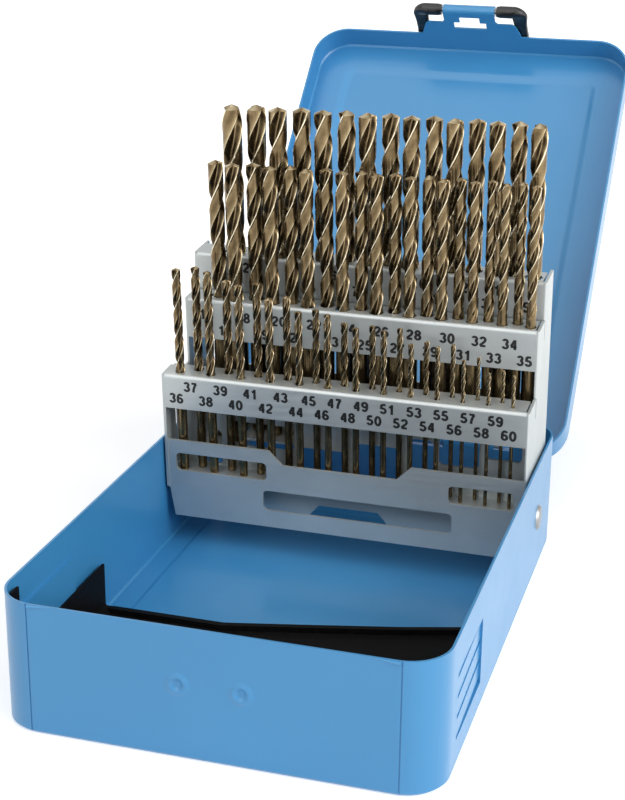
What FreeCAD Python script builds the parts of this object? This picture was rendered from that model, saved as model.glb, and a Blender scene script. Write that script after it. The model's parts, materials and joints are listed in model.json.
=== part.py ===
import FreeCAD, Part
import os
import re
import Sketcher

# A sixty-piece number-gauge drill index: a drawn sheet-steel tray, a hinged lid with a finger latch,
# and a stepped drill rack that pivots on two rivets and folds down into the tray.
# World frame: X to the right, Y to the back, Z up, origin at the middle of the tray's underside.
# The lid is drawn closed and the rack upright; each then turns about its own axis to its open place.

doc = FreeCAD.newDocument("DrillIndex")
sheet = doc.addObject("Spreadsheet::Sheet", "Sizes")

SIZES = [
    ("sheet", 0.6, "steel sheet of tray and lid"),
    ("plate", 0.8, "steel sheet of the rack"),
    ("tray_width", 111.0, "outside width of the tray"),
    ("tray_depth", 158.0, "outside depth of the tray"),
    ("tray_height", 35.0, "height of the tray's rim"),
    ("tray_corner", 10.7, "upright corner radius of the tray"),
    ("tray_bend", 0.9, "inside bend between floor and walls"),
    ("rear_wall_top", 24.6, "top of the low middle part of the rear wall"),
    ("rear_wall_half", 41.0, "half width of that low part"),
    ("hinge_out", 1.5, "hinge axis behind the rear wall"),
    ("hinge_up", 25.0, "hinge axis above the underside"),
    ("knuckle_radius", 1.8, "outside radius of the hinge knuckles"),
    ("hinge_pin_radius", 0.95, "radius of the hinge pin"),
    ("hinge_pin_half", 37.5, "half length of the hinge pin"),
    ("running_gap", 0.08, "radial clearance of a turning fit"),
    ("lid_gap_side", 0.55, "between tray and lid flange at the sides"),
    ("lid_gap_front", 0.4, "between tray and lid flange at front and back"),
    ("lid_gap_top", 0.4, "between the tray's rim and the lid panel"),
    ("lid_rim", 26.6, "lower edge of the lid flange when closed"),
    ("lid_rear_rim", 27.4, "lower edge of the rear flange over the knuckles"),
    ("lid_bend", 1.6, "outside bend between lid panel and flange"),
    ("panel_border", 9.0, "flat border round the raised lid panel"),
    ("panel_slope", 3.5, "width of the sloped step"),
    ("panel_rise", 1.0, "height of the raised panel"),
    ("lid_open", 136.4, "degrees between closed and the place it stands open"),
    ("tongue_half", 18.2, "half width of the tongue at the flange"),
    ("tongue_shoulder", 16.2, "half width of the tongue at its shoulders"),
    ("tongue_shoulder_up", 20.0, "height of the shoulders when closed"),
    ("tongue_neck", 9.2, "half width of the rolled end"),
    ("slot_half", 5.8, "half width of the keyhole slot in the tongue"),
    ("slot_neck", 3.6, "half width of its narrow end"),
    ("roll_radius", 1.9, "outside radius of the rolled end"),
    ("roll_up", 15.3, "height of the roll's axis when closed"),
    ("latch_pin_radius", 0.8, "radius of the latch pin"),
    ("latch_pin_half", 17.4, "half length of the latch pin"),
    ("barrel_radius", 2.05, "outside radius of the latch barrels"),
    ("barrel_start", 10.4, "inner end of a barrel from the middle"),
    ("barrel_end", 18.6, "outer end of a barrel from the middle"),
    ("latch_arm", 4.6, "width of a latch arm"),
    ("latch_half", 20.0, "half width of the latch"),
    ("latch_thick", 2.2, "thickness of the latch lever"),
    ("latch_gap", 0.4, "between latch lever and tongue"),
    ("latch_plate_low", 26.0, "lower edge of the finger plate when closed"),
    ("latch_top", 36.4, "upper edge of the finger plate when closed"),
    ("rack_lean", 4.0, "degrees the upright rack leans forward"),
    ("rack_gap", 0.7, "between the tray's side walls and the rack"),
    ("left_inset", 4.0, "left side plate inside the rack's left edge"),
    ("pivot_back", 48.6, "pivot in the rack's own frame, back"),
    ("pivot_up", 14.2, "pivot in the rack's own frame, up"),
    ("pivot_radius", 2.0, "radius of the pivot rivets"),
    ("pivot_head", 3.8, "radius of a rivet head"),
    ("front_face", 33.7, "front shelf, front face"),
    ("front_rear", 42.4, "front shelf, rear edge"),
    ("front_top", 53.5, "front shelf, top"),
    ("front_drop", 10.6, "front shelf, height of its face"),
    ("middle_face", 44.5, "middle shelf, front face"),
    ("middle_rear", 52.9, "middle shelf, rear edge"),
    ("middle_top", 73.6, "middle shelf, top"),
    ("middle_drop", 12.0, "middle shelf, height of its face"),
    ("back_face", 53.6, "back shelf, front face"),
    ("back_rear", 62.4, "back shelf, rear edge"),
    ("back_top", 84.7, "back shelf, top"),
    ("back_drop", 12.0, "back shelf, height of its face"),
    ("bend", 1.0, "outside bend of the shelves"),
    ("side_rear", 65.0, "rear edge of the side plates"),
    ("side_foot", 7.6, "lower end of the side plates"),
    ("lower_face", 34.0, "front face of the lower front plate"),
    ("lower_top", 32.4, "top of the lower front plate"),
    ("lower_foot", 7.4, "bottom of the lower front plate"),
    ("front_floor", 21.9, "floor under the front row"),
    ("divider_face", 41.7, "front face of the divider"),
    ("drill_gap", 0.15, "radial clearance of a drill in its hole"),
    ("drill_rest", 0.05, "gap under a seated drill"),
    ("middle_reach", 114.3, "height of all middle-row tips"),
    ("back_reach", 128.6, "height of all back-row tips"),
    ("front_first", 4.7, "rack's left edge to the first hole of the front row"),
    ("front_last", 5.3, "rack's right edge to the last hole of the front row"),
    ("front_taper", 1.3, "first pitch less last pitch, front row"),
    ("middle_first", 13.2, "rack's left edge to the first hole of the middle row"),
    ("middle_last", 3.0, "rack's right edge to the last hole of the middle row"),
    ("middle_taper", 1.7, "first pitch less last pitch, middle row"),
    ("back_first", 15.8, "rack's left edge to the first hole of the back row"),
    ("back_last", 4.4, "rack's right edge to the last hole of the back row"),
    ("back_taper", 1.2, "first pitch less last pitch, back row"),
    ("brace_foot", 30.0, "lower edge of the rear brace"),
    ("brace_tall", 16.0, "height of the rear brace"),
    ("liner_gap", 0.9, "between the tray's side walls and the tip stop"),
    ("liner_floor", 0.8, "thickness of the tip stop's floor"),
    ("liner_lip", 3.0, "height of its rear lip"),
    ("liner_wall", 0.7, "thickness of its side fins"),
    ("liner_fin", 16.0, "height of its side fins"),
    ("groove_depth", 0.8, "depth of the grip grooves at their rear end"),
]
for line, (alias, value, note) in enumerate(SIZES, start=1):
    sheet.set("A%d" % line, str(value))
    sheet.setAlias("A%d" % line, alias)
    sheet.set("B%d" % line, note)
doc.recompute()

value_of = {alias: float(getattr(sheet, alias)) for alias, _, _ in SIZES}


def bind(obj, **rules):
    """Ties properties to rules on the sheet; a double underscore stands for a dot."""
    for name, rule in rules.items():
        text = re.sub(r"[a-z_]+", lambda hit: "Sizes." + hit[0] if hit[0] in value_of else hit[0], str(rule))
        obj.setExpression(name.replace("__", "."), text)
    return obj


def number(rule):
    """The value of a rule on the sheet."""
    names = re.sub(r"[a-z_]+", lambda hit: repr(value_of[hit[0]]), str(rule))
    total = sheet.evalExpression(names)
    return float(total)


def block(name, x, y, z):
    """A box between two rules on each axis."""
    box = doc.addObject("Part::Box", name)
    bind(box, Placement__Base__x=x[0], Placement__Base__y=y[0], Placement__Base__z=z[0],
         Length="(%s) - (%s)" % (x[1], x[0]), Width="(%s) - (%s)" % (y[1], y[0]),
         Height="(%s) - (%s)" % (z[1], z[0]))
    return box


AXIS_TURN = {
    "x": FreeCAD.Rotation(FreeCAD.Vector(0, 1, 0), 90),
    "y": FreeCAD.Rotation(FreeCAD.Vector(1, 0, 0), -90),
    "z": FreeCAD.Rotation(),
}


def rod(name, axis, start, radius, length):
    """A cylinder from a start point along one axis."""
    cylinder = doc.addObject("Part::Cylinder", name)
    cylinder.Placement = FreeCAD.Placement(FreeCAD.Vector(), AXIS_TURN[axis])
    return bind(cylinder, Placement__Base__x=start[0], Placement__Base__y=start[1],
                Placement__Base__z=start[2], Radius=radius, Height=length)


def taper(name, start, radius, end_radius, length):
    """A cone frustum along X from a start point."""
    cone = doc.addObject("Part::Cone", name)
    cone.Placement = FreeCAD.Placement(FreeCAD.Vector(), AXIS_TURN["x"])
    return bind(cone, Placement__Base__x=start[0], Placement__Base__y=start[1],
                Placement__Base__z=start[2], Radius1=radius, Radius2=end_radius, Height=length)


def fuse(name, pieces):
    """The union of the pieces."""
    whole = doc.addObject("Part::MultiFuse", name)
    whole.Shapes = pieces
    return whole


def cut(name, base, tools):
    """The base without the tools."""
    result = doc.addObject("Part::Cut", name)
    result.Base = base
    result.Tool = tools[0] if len(tools) == 1 else fuse(name + "Tools", tools)
    return result


def soften(name, base, radius, chosen, kind="Part::Fillet"):
    """Rounds, or bevels, the edges whose middle point and direction satisfy the test."""
    doc.recompute()
    picked = []
    for index, edge in enumerate(base.Shape.Edges, start=1):
        first, last = edge.Vertexes[0].Point, edge.Vertexes[-1].Point
        if chosen((first + last) * 0.5, last - first):
            picked.append((index, number(radius), number(radius)))
    rounded = doc.addObject(kind, name)
    rounded.Base = base
    rounded.Edges = picked
    return rounded


def upright(middle, along):
    """True for an edge parallel to Z."""
    return abs(along.z) > 0.99 * along.Length


def outline(name, plane, offset, thickness, points):
    """A flat plate: a polygon on one of the body's own planes, padded to a thickness."""
    body = doc.addObject("PartDesign::Body", name)
    drawing = body.newObject("Sketcher::SketchObject", name + "Outline")
    role = [item for item in body.Origin.OriginFeatures if item.Role == plane][0]
    drawing.AttachmentSupport = [(role, "")]
    drawing.MapMode = "FlatFace"
    bind(drawing, AttachmentOffset__Base__z=offset)
    corners = [(number(across), number(up)) for across, up in points]
    count = len(corners)
    for index in range(count):
        start, end = corners[index], corners[(index + 1) % count]
        drawing.addGeometry(Part.LineSegment(FreeCAD.Vector(*start, 0), FreeCAD.Vector(*end, 0)), False)
    for index in range(count):
        drawing.addConstraint(Sketcher.Constraint("Coincident", index, 2, (index + 1) % count, 1))
    for index, rules in enumerate(points):
        for direction, rule, place in zip(("DistanceX", "DistanceY"), rules, corners[index]):
            if abs(place) < 1e-9:
                on_axis = -2 if direction == "DistanceX" else -1
                drawing.addConstraint(Sketcher.Constraint("PointOnObject", index, 1, on_axis))
                continue
            entry = drawing.addConstraint(Sketcher.Constraint(direction, -1, 1, index, 1, place))
            bind(drawing, **{"Constraints[%d]" % entry: rule})
    pad = body.newObject("PartDesign::Pad", name + "Pad")
    pad.Profile = drawing
    bind(pad, Length=thickness)
    return body


def front_plate(name, front, thickness, points):
    """A plate in an XZ plane whose front face is at the given depth."""
    return outline(name, "XZ_Plane", "-((%s) + (%s))" % (front, thickness), thickness, points)


def side_plate(name, left, thickness, points):
    """A plate in a YZ plane whose left face is at the given place."""
    return outline(name, "YZ_Plane", left, thickness, points)


def floor_plate(name, bottom, thickness, points):
    """A plate in an XY plane from the given height up."""
    return outline(name, "XY_Plane", bottom, thickness, points)


def turned(angle, back, up):
    """A turn about an axis parallel to X through one point."""
    rotation = FreeCAD.Rotation(FreeCAD.Vector(1, 0, 0), angle)
    return FreeCAD.Placement(FreeCAD.Vector(), rotation, FreeCAD.Vector(0, back, up))


HINGE_Y = "(tray_depth / 2 + hinge_out)"
RACK_HALF = "(tray_width / 2 - sheet - rack_gap)"
LEFT_PLATE_OUT = "(tray_width / 2 - sheet - rack_gap - left_inset)"
HOME = FreeCAD.Placement()
LID_PLACE = turned(-value_of["lid_open"], number(HINGE_Y), value_of["hinge_up"])
RACK_PLACE = turned(value_of["rack_lean"], 0, 0)
nodes = []


def keep(label, piece, place=HOME):
    """Names a finished piece and puts it in its place in the object."""
    if place is not HOME and any(path.startswith(".Placement") or path.startswith("Placement")
                                 for path, _ in piece.ExpressionEngine):
        holder = doc.addObject("Part::Compound", piece.Name + "Placed")
        holder.Links = [piece]
        piece = holder
    doc.recompute()
    if place is not HOME:
        piece.Placement = place.multiply(piece.Placement)
    piece.Label = label
    nodes.append(piece)


def mirrored(low, high):
    """The same stretch on the left."""
    return "-(%s)" % high, "-(%s)" % low


# The tray: a drawn pan with a low rear wall, hinge knuckles, side grips, corner seams and two dents.
PIVOT_Y = "pivot_back * cos(rack_lean * 1deg) - pivot_up * sin(rack_lean * 1deg)"
PIVOT_Z = "pivot_back * sin(rack_lean * 1deg) + pivot_up * cos(rack_lean * 1deg)"


# a flat bevel cuts as deep into a corner as a round bend of 1 / BEVEL_SHARE times its size
BEVEL_SHARE = 0.586


def pan(name, half_width, front, back, bottom, top, corner, bend, bend_at_top=False):
    """A solid block with round upright corners, its bend at one end cut as a bevel."""
    raw = block(name + "Block", ("-(%s)" % half_width, half_width), (front, back), (bottom, top))
    sides = soften(name + "Sides", raw, corner, upright)
    end = number(top if bend_at_top else bottom)
    return soften(name, sides, "(%s) * %s" % (bend, BEVEL_SHARE),
                  lambda middle, along: abs(middle.z - end) < 1e-6 and abs(along.z) < 1e-6, "Part::Chamfer")


outer = pan("TrayOuter", "tray_width / 2", "-tray_depth / 2", "tray_depth / 2", 0, "tray_height",
            "tray_corner", "tray_bend + sheet")
inner = pan("TrayInner", "tray_width / 2 - sheet", "-tray_depth / 2 + sheet", "tray_depth / 2 - sheet",
            "sheet", "tray_height + 1", "tray_corner - sheet", "tray_bend")
low_rear = block("LowRear", ("-rear_wall_half", "rear_wall_half"),
                 ("tray_depth / 2 - 3", "tray_depth / 2 + 1"), ("rear_wall_top", "tray_height + 1"))
hollow = cut("TrayHollow", outer, [inner, low_rear])

KNUCKLE_EDGES = (8.0, 20.0, 36.0)
KNUCKLE_GAP = 0.4
tray_knuckles = [(-KNUCKLE_EDGES[2], -KNUCKLE_EDGES[1]), (-KNUCKLE_EDGES[0], KNUCKLE_EDGES[0]),
                 (KNUCKLE_EDGES[1], KNUCKLE_EDGES[2])]
lid_knuckles = [(-KNUCKLE_EDGES[1] + KNUCKLE_GAP, -KNUCKLE_EDGES[0] - KNUCKLE_GAP),
                (KNUCKLE_EDGES[0] + KNUCKLE_GAP, KNUCKLE_EDGES[1] - KNUCKLE_GAP)]


def knuckle(name, span, leaf_y, leaf_z, bore):
    """A rolled hinge knuckle on a leaf of sheet."""
    length = span[1] - span[0]
    roll = rod(name + "Roll", "x", (span[0], HINGE_Y, "hinge_up"), "knuckle_radius", length)
    leaf = block(name + "Leaf", span, leaf_y, leaf_z)
    hole = rod(name + "Bore", "x", (span[0] - 1, HINGE_Y, "hinge_up"), bore, length + 2)
    return cut(name, fuse(name + "Solid", [roll, leaf]), [hole])


TRAY_LEAF_Y = ("tray_depth / 2 - sheet", "tray_depth / 2")
tray_rolls = [knuckle("TrayKnuckle%d" % place, span, TRAY_LEAF_Y, ("hinge_up - 3", "hinge_up"),
                      "hinge_pin_radius") for place, span in enumerate(tray_knuckles)]
tray_notches = [block("KnuckleNotch%d" % place, (span[0] - KNUCKLE_GAP, span[1] + KNUCKLE_GAP),
                      ("tray_depth / 2 - 2", "tray_depth / 2 + 1"), ("hinge_up - knuckle_radius", "tray_height"))
                for place, span in enumerate(lid_knuckles)]

# finger grips: in each side wall a pressed panel that deepens to a step at its rear end,
# with four grooves along it; the sheet stands out as far on the inside
GRIP_FRONT = "-tray_depth / 2 + 16"
GRIP_REAR = "-tray_depth / 2 + 44.6"
GRIP_Z = (7.4, 25.4)
GRIP_SKIRT = 0.5
GROOVE_PITCH = 5.5
GROOVE_TALL = 1.3
GROOVE_START = 0.2
WALL = "tray_width / 2"


def grip_cut(tag, side, front_depth, rear_depth, foot, tall):
    """A tool that sinks evenly deeper into a side wall from the grip's front to its rear."""
    section = [("%d * (%s + 1)" % (side, WALL), GRIP_FRONT),
               ("%d * (%s - %s)" % (side, WALL, front_depth), GRIP_FRONT),
               ("%d * (%s - %s)" % (side, WALL, rear_depth), GRIP_REAR),
               ("%d * (%s + 1)" % (side, WALL), GRIP_REAR)]
    return floor_plate(tag, foot, tall, section)


pads = []
grips = []
for side, hand in ((-1, "Left"), (1, "Right")):
    inside = (WALL + " - sheet - groove_depth", WALL + " - sheet")
    pads.append(block("GripPad" + hand, mirrored(*inside) if side < 0 else inside,
                      ("%s - %s" % (GRIP_FRONT, GRIP_SKIRT), "%s + %s" % (GRIP_REAR, GRIP_SKIRT)),
                      (GRIP_Z[0] - GRIP_SKIRT, GRIP_Z[1] + GRIP_SKIRT)))
    grips.append(grip_cut("GripPanel" + hand, side, 0, "groove_depth * 0.7", GRIP_Z[0], GRIP_Z[1] - GRIP_Z[0]))
    for level in range(4):
        foot = GRIP_Z[0] + level * GROOVE_PITCH
        grips.append(grip_cut("Grip%s%d" % (hand, level), side, GROOVE_START, "groove_depth", foot, GROOVE_TALL))

# corner seams of the front wall, two latch dents, holes for the pivot rivets
SEAM_X = 45.9
SEAM_WIDE = 0.35
DENT_X = 7.9
DENT_Z = 20.0
DENT_RADIUS = 2.0
DENT_DEEP = 0.35
seams = [block("Seam%d" % (side + 1), (side * SEAM_X - SEAM_WIDE / 2, side * SEAM_X + SEAM_WIDE / 2),
               ("-tray_depth / 2 - 1", "-tray_depth / 2 + sheet / 2"), ("-1", "tray_height + 1"))
         for side in (-1, 1)]
dents = [rod("Dent%d" % (side + 1), "y", (side * DENT_X, "-tray_depth / 2 - 1", DENT_Z), DENT_RADIUS,
             1 + DENT_DEEP) for side in (-1, 1)]
pivot_holes = rod("PivotHoles", "x", ("-tray_width / 2 - 1", PIVOT_Y, PIVOT_Z), "pivot_radius", "tray_width + 2")
notched = cut("TrayNotched", hollow, tray_notches + seams + dents)
padded = fuse("TrayPadded", [notched] + pads + tray_rolls)
keep("base_tray", cut("TrayGripped", padded, grips + [pivot_holes]))

keep("hinge_pin", rod("HingePin", "x", ("-hinge_pin_half", HINGE_Y, "hinge_up"), "hinge_pin_radius",
                      "2 * hinge_pin_half"))

# The pivot rivets, each with a ring that fills the space between wall and side plate.
RIVET_HEAD_TALL = 0.7
RIVET_HEAD_TAPER = 0.6
INNER_HEAD_TALL = 0.9
INNER_HEAD_OVER = 1.2
PLATE_PLAY = 0.3


def rivet(label, side, plate_inner):
    """A rivet from the outside of a tray wall to the inside of a rack side plate."""
    inner_end = "((%s) - %s - %s)" % (plate_inner, PLATE_PLAY, INNER_HEAD_TALL)
    outer_end = "(tray_width / 2 + %s)" % RIVET_HEAD_TALL
    length = "%s - %s" % (outer_end, inner_end)
    rim = "pivot_head - %s" % RIVET_HEAD_TAPER
    if side > 0:
        start, upset_start, head_start, radii = inner_end, inner_end, "tray_width / 2", ("pivot_head", rim)
    else:
        start, upset_start = "-" + outer_end, "-%s - %s" % (inner_end, INNER_HEAD_TALL)
        head_start, radii = "-" + outer_end, (rim, "pivot_head")
    shank = rod(label + "Shank", "x", (start, PIVOT_Y, PIVOT_Z), "pivot_radius", length)
    head = taper(label + "Head", (head_start, PIVOT_Y, PIVOT_Z), radii[0], radii[1], RIVET_HEAD_TALL)
    upset = rod(label + "Upset", "x", (upset_start, PIVOT_Y, PIVOT_Z), "pivot_radius + %s" % INNER_HEAD_OVER,
                INNER_HEAD_TALL)
    keep(label, fuse(label + "Whole", [shank, head, upset]))


rivet("pivot_rivet_right", 1, RACK_HALF + " - plate")
rivet("pivot_rivet_left", -1, LEFT_PLATE_OUT + " - plate")


def ring(label, start, length, radius):
    """A plain ring on a pivot rivet, against the tray wall."""
    body = rod(label + "Body", "x", (start, PIVOT_Y, PIVOT_Z), radius, length)
    bore = rod(label + "Bore", "x", ("(%s) - 1" % start, PIVOT_Y, PIVOT_Z), "pivot_radius", "(%s) + 2" % length)
    keep(label, cut(label + "Ring", body, [bore]))


WASHER_THICK = 0.4
ring("pivot_washer_right", "tray_width / 2 - sheet - %s" % WASHER_THICK, WASHER_THICK, "pivot_head")
ring("pivot_spacer_left", "-tray_width / 2 + sheet", "tray_width / 2 - sheet - %s - %s" % (LEFT_PLATE_OUT, PLATE_PLAY),
     "pivot_head")

# The tip stop: the black liner of the tray's floor, with a fin and a tab along each wall.
FIN_OUT = "(tray_width / 2 - sheet - liner_gap)"
FLOOR_HALF = "(%s - 2.6)" % FIN_OUT
LINER_FRONT = "-tray_depth / 2 + 4.6"
LINER_REAR = -16.0
SLANT = [(43.0, 1.0), (27.0, -4.0), (0.6, -11.0), (-19.0, LINER_REAR)]
rear_edge = [(FLOOR_HALF, 1.5)] + SLANT + [("-" + FLOOR_HALF, LINER_REAR)]
LIP_WIDE = 1.8
liner_floor = floor_plate("LinerFloor", "sheet", "liner_floor",
                          [("-" + FLOOR_HALF, LINER_FRONT), (FLOOR_HALF, LINER_FRONT)] + rear_edge)
liner_lip = floor_plate("LinerLip", "sheet", "liner_lip - sheet",
                        rear_edge + [(across, back - LIP_WIDE) for across, back in reversed(rear_edge)])
# section of a side fin: how far inside the outer face, and height
FIN_SECTION = [(3.1, 0.65), (1.8, 0.9), (0, 3.4), (0, "liner_fin"), ("liner_wall", "liner_fin"),
               ("liner_wall", 3.9), (2.1, 1.6), (3.1, 1.4)]
FIN_FRONT = "-tray_depth / 2 + 7.5"
FIN_REAR = {"Left": -17.0, "Right": -26.0}
TAB_FOOT = 4.0
TAB_TALL = "tray_height - 2"
TAB_DEEP = 4.0
liner_parts = [liner_floor, liner_lip]
for side, hand in ((-1, "Left"), (1, "Right")):
    section = [("%d * (%s - %s)" % (side, FIN_OUT, inset), up) for inset, up in FIN_SECTION]
    liner_parts.append(front_plate("LinerFin" + hand, FIN_FRONT, "%s - (%s)" % (FIN_REAR[hand], FIN_FRONT), section))
    wall = (FIN_OUT + " - liner_wall", FIN_OUT)
    liner_parts.append(block("LinerTab" + hand, mirrored(*wall) if side < 0 else wall,
                             (FIN_FRONT, "%s + %s" % (FIN_FRONT, TAB_DEEP)), (TAB_FOOT, TAB_TALL)))
keep("tip_stop_tray", fuse("TipStop", liner_parts))

# The lid, drawn closed.
LID_HALF = "tray_width / 2 + lid_gap_side + sheet"
LID_FRONT = "-tray_depth / 2 - lid_gap_front - sheet"
LID_BACK = "tray_depth / 2 + lid_gap_front + sheet"
LID_TOP = "tray_height + lid_gap_top + sheet"
lid_outer = pan("LidOuter", LID_HALF, LID_FRONT, LID_BACK, "lid_rim", LID_TOP,
                "tray_corner + lid_gap_front + sheet", "lid_bend", True)
lid_inner = pan("LidInner", LID_HALF + " - sheet", LID_FRONT + " + sheet", LID_BACK + " - sheet", "lid_rim - 1",
                LID_TOP + " - sheet", "tray_corner + lid_gap_front", "lid_bend - sheet", True)


def raised_panel(name, lower):
    """A low frustum: the raised panel, or the hollow behind it."""
    wedge = doc.addObject("Part::Wedge", name)
    wedge.Placement = FreeCAD.Placement(FreeCAD.Vector(), FreeCAD.Rotation(FreeCAD.Vector(1, 0, 0), 90))
    bind(wedge, Xmin="-(%s) + panel_border" % LID_HALF, Xmax="(%s) - panel_border" % LID_HALF,
         Zmin="-(%s) + panel_border" % LID_BACK, Zmax="(%s) - panel_border" % LID_BACK,
         X2min="-(%s) + panel_border + panel_slope" % LID_HALF,
         X2max="(%s) - panel_border - panel_slope" % LID_HALF,
         Z2min="-(%s) + panel_border + panel_slope" % LID_BACK,
         Z2max="(%s) - panel_border - panel_slope" % LID_BACK,
         Ymin="(%s) - (%s)" % (LID_TOP, lower), Ymax="(%s) - (%s) + panel_rise" % (LID_TOP, lower))
    return wedge


lid_block = fuse("LidBlock", [lid_outer, raised_panel("PanelOut", "0")])
rear_relief = block("RearRelief", (-KNUCKLE_EDGES[2] - 3, KNUCKLE_EDGES[2] + 3),
                    ("tray_depth / 2 + lid_gap_front - 0.5", "tray_depth / 2 + 3"), ("lid_rim - 1", "lid_rear_rim"))
lid_pan = cut("LidPan", lid_block, [lid_inner, raised_panel("PanelIn", "sheet"), rear_relief])
LID_LEAF_Y = ("tray_depth / 2 + lid_gap_front", "tray_depth / 2 + lid_gap_front + sheet")
lid_rolls = [knuckle("LidKnuckle%d" % place, span, LID_LEAF_Y, ("hinge_up", "lid_rear_rim + 1"),
                     "hinge_pin_radius + running_gap") for place, span in enumerate(lid_knuckles)]

# front tongue with shoulders, keyhole slot and rolled end
right_edge = [("tongue_half", "lid_rim + 2"), ("tongue_half - 0.6", "lid_rim - 1.4"),
              ("tongue_shoulder", "tongue_shoulder_up + 1"), ("tongue_shoulder - 1", "tongue_shoulder_up"),
              ("tongue_neck + 0.8", "tongue_shoulder_up"), ("tongue_neck", "tongue_shoulder_up - 1"),
              ("tongue_neck", "roll_up")]
left_edge = [("-(%s)" % across, up) for across, up in reversed(right_edge)]
tongue = front_plate("Tongue", LID_FRONT, "sheet", right_edge + left_edge)
ROLL_Y = "-tray_depth / 2 - lid_gap_front - roll_radius"
roll = rod("TongueRoll", "x", ("-tongue_neck", ROLL_Y, "roll_up"), "roll_radius", "2 * tongue_neck")
roll_bore = rod("TongueBore", "x", ("-tongue_neck - 1", ROLL_Y, "roll_up"), "latch_pin_radius", "2 * tongue_neck + 2")
SLOT_Y = (LID_FRONT + " - 5", LID_FRONT + " + 2")
SLOT_FOOT = "tongue_shoulder_up - 0.3"
slot_wide = block("SlotWide", ("-slot_half", "slot_half"), SLOT_Y, (SLOT_FOOT, "tongue_shoulder_up + 2.9"))
slot_narrow = block("SlotNarrow", ("-slot_neck", "slot_neck"), SLOT_Y,
                    ("roll_up + roll_radius - 0.2", SLOT_FOOT + " + 0.1"))
lid_whole = fuse("LidWhole", [lid_pan, tongue, roll] + lid_rolls)
keep("lid_shell", cut("LidShell", lid_whole, [slot_wide, slot_narrow, roll_bore]), LID_PLACE)
keep("latch_pin", rod("LatchPin", "x", ("-latch_pin_half", ROLL_Y, "roll_up"), "latch_pin_radius",
                      "2 * latch_pin_half"), LID_PLACE)

# The finger latch.
LEVER_Y = (LID_FRONT + " - latch_gap - latch_thick", LID_FRONT + " - latch_gap")
lever_plate = block("LeverPlate", ("-latch_half", "latch_half"), LEVER_Y, ("latch_plate_low", "latch_top"))
arms = []
bores = []
for side, hand in ((-1, "Left"), (1, "Right")):
    arm = ("latch_half - latch_arm", "latch_half")
    arms.append(block("LatchArm" + hand, mirrored(*arm) if side < 0 else arm, LEVER_Y,
                      ("roll_up", "latch_plate_low + 1")))
    start = "barrel_start" if side > 0 else "-barrel_end"
    arms.append(rod("LatchBarrel" + hand, "x", (start, ROLL_Y, "roll_up"), "barrel_radius",
                    "barrel_end - barrel_start"))
    start = "barrel_start - 1" if side > 0 else "-latch_pin_half - 0.3"
    bores.append(rod("LatchBore" + hand, "x", (start, ROLL_Y, "roll_up"), "latch_pin_radius + running_gap",
                     "latch_pin_half - barrel_start + 1.3"))
lever = cut("LatchBored", fuse("LatchSolid", [lever_plate] + arms), bores)
top_z = number("latch_top")
lever = soften("LatchLever", lever, "latch_thick * 1.2",
               lambda middle, along: abs(along.y) > 0.99 * along.Length and middle.z > top_z - 0.01)
keep("latch_lever", lever, LID_PLACE)

# The drills, by wire-gauge number.
INCH = 25.4
# decimal-inch diameters of gauge numbers 1 to 60
GAUGE = [0.2280, 0.2210, 0.2130, 0.2090, 0.2055, 0.2040, 0.2010, 0.1990, 0.1960, 0.1935,
         0.1910, 0.1890, 0.1850, 0.1820, 0.1800, 0.1770, 0.1730, 0.1695, 0.1660, 0.1610,
         0.1590, 0.1570, 0.1540, 0.1520, 0.1495, 0.1470, 0.1440, 0.1405, 0.1360, 0.1285,
         0.1200, 0.1160, 0.1130, 0.1110, 0.1100, 0.1065, 0.1040, 0.1015, 0.0995, 0.0980,
         0.0960, 0.0935, 0.0890, 0.0860, 0.0820, 0.0810, 0.0785, 0.0760, 0.0730, 0.0700,
         0.0670, 0.0635, 0.0595, 0.0550, 0.0520, 0.0465, 0.0430, 0.0420, 0.0410, 0.0400]
# last gauge number of each length group and its overall length in eighths of an inch
LENGTH_GROUPS = [(2, 31), (6, 30), (10, 29), (13, 28), (17, 27), (21, 26), (24, 25), (27, 24), (29, 23),
                 (32, 22), (35, 21), (38, 20), (41, 19), (43, 18), (46, 17), (51, 16), (55, 15), (57, 14),
                 (60, 13)]


def overall(gauge):
    """Overall length of a jobber drill of that number."""
    return next(eighths for last, eighths in LENGTH_GROUPS if gauge <= last) * INCH / 8


def diameter(gauge):
    """Diameter of a drill of that number."""
    return GAUGE[gauge - 1] * INCH


# each row: first and last number, and how far its odd and even holes lie behind the shelf's face
ROWS = {
    "back": (1, 15, 3.9, 5.1),
    "middle": (16, 35, 3.1, 5.1),
    "front": (36, 60, 6.1, 3.3),
}


def row_of(gauge):
    """The row that holds a drill of that number."""
    return next(name for name, (first, last, _, _) in ROWS.items() if first <= gauge <= last)


def place_of(gauge):
    """Across and back of a drill's hole: the pitch shrinks evenly along the row."""
    row = row_of(gauge)
    first, last, odd, even = ROWS[row]
    start = number("-%s + %s_first" % (RACK_HALF, row))
    pitches = last - first
    mean = (number("%s - %s_last" % (RACK_HALF, row)) - start) / pitches
    wide = mean + value_of[row + "_taper"] / 2
    shrink = value_of[row + "_taper"] / (pitches - 1)
    steps = gauge - first
    across = start + steps * wide - shrink * steps * (steps - 1) / 2
    return across, value_of[row + "_face"] + (odd if gauge % 2 else even)


def reach(gauge):
    """Height of the underside of a seated drill."""
    if gauge > ROWS["middle"][1]:
        return value_of["front_floor"]
    return value_of["middle_reach" if gauge > ROWS["back"][1] else "back_reach"] - overall(gauge)


# height of a 118-degree point over its radius, and the number of flats of a drill and of its hole
POINT_RATIO = 0.6
FLATS = 8


def ring_of(name, across, back, up, radius):
    """A regular polygon that lies level, its corners on a circle."""
    polygon = doc.addObject("Part::RegularPolygon", name)
    polygon.Polygon = FLATS
    return bind(polygon, Circumradius=radius, Placement__Base__x=across, Placement__Base__y=back,
                Placement__Base__z=up)


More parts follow.
